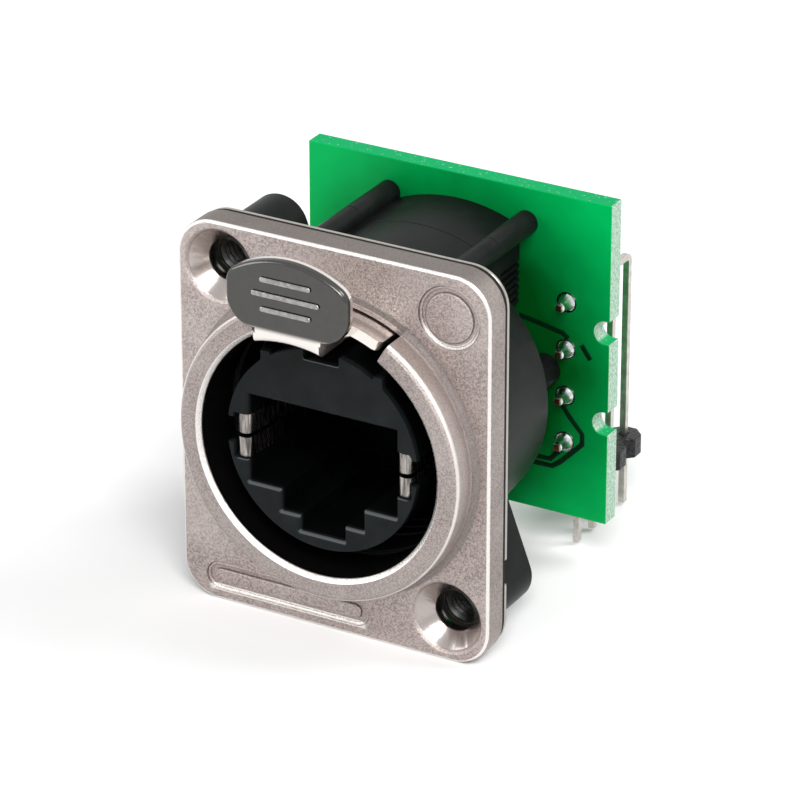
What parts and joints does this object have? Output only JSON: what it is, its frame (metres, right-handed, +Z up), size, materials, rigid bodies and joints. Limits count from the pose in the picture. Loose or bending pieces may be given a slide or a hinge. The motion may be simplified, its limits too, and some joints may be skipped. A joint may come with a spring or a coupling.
{
  "type": "ethernet panel connector",
  "caption": "Panel-mounted network socket: square metal flange with a round latching port, a black moulded barrel and a green board with right-angle pins.",
  "frame": {"origin": "on the port's axis, in the rear face of the metal flange, midway between the two screw holes", "axes": "+Y from the port's mouth towards the circuit board, +Z up towards the latch, +X to the right seen from the front"},
  "size_m": [0.026, 0.0366, 0.0324],
  "materials": {
    "satin_nickel": "grainy satin nickel plate on a die casting",
    "gasket_rubber": "matt",
    "bright_sheet": "bright tinned sheet",
    "black_moulding": "matt moulded",
    "jack_plastic": "matt moulded",
    "bush_steel": "plain turned",
    "bright_nickel": "smooth nickel plate",
    "spring_steel": "bright strip",
    "green_board": "solder mask over glass laminate",
    "solder": "bright",
    "header_plastic": "matt moulded",
    "contact_gold": "gold flash",
    "pin_tin": "tinned"
  },
  "bodies": {
    "connector": {"flange": "satin_nickel", "gasket": "gasket_rubber", "ground_plate": "bright_sheet", "housing": "black_moulding", "rear_block": "black_moulding", "jack_insert": "jack_plastic", "contact_carrier": "jack_plastic", "screw_bush_left": "bush_steel", "screw_bush_right": "bush_steel", "latch_spring": "spring_steel", "shield_spring_left": "spring_steel", "shield_spring_right": "spring_steel", "circuit_board": "green_board", "solder_joints": "solder", "pin_header_left": "header_plastic", "pin_header_right": "header_plastic", "contact_1": "contact_gold", "contact_2": "contact_gold", "contact_3": "contact_gold", "contact_4": "contact_gold", "contact_5": "contact_gold", "contact_6": "contact_gold", "contact_7": "contact_gold", "contact_8": "contact_gold", "board_pin_1": "pin_tin", "board_pin_2": "pin_tin", "board_pin_3": "pin_tin", "board_pin_4": "pin_tin", "board_pin_5": "pin_tin", "board_pin_6": "pin_tin", "board_pin_7": "pin_tin", "board_pin_8": "pin_tin"},
    "latch": {"latch": "bright_nickel"}
  },
  "joints": [
    {"name": "latch_press", "type": "slide", "parent": "connector", "child": "latch", "axis": [0, 1, 0], "range_m": [0, 0.0018], "stiffness_N_per_m": 500, "springref_m": -0.002, "deforming": ["latch_spring"]}
  ]
}
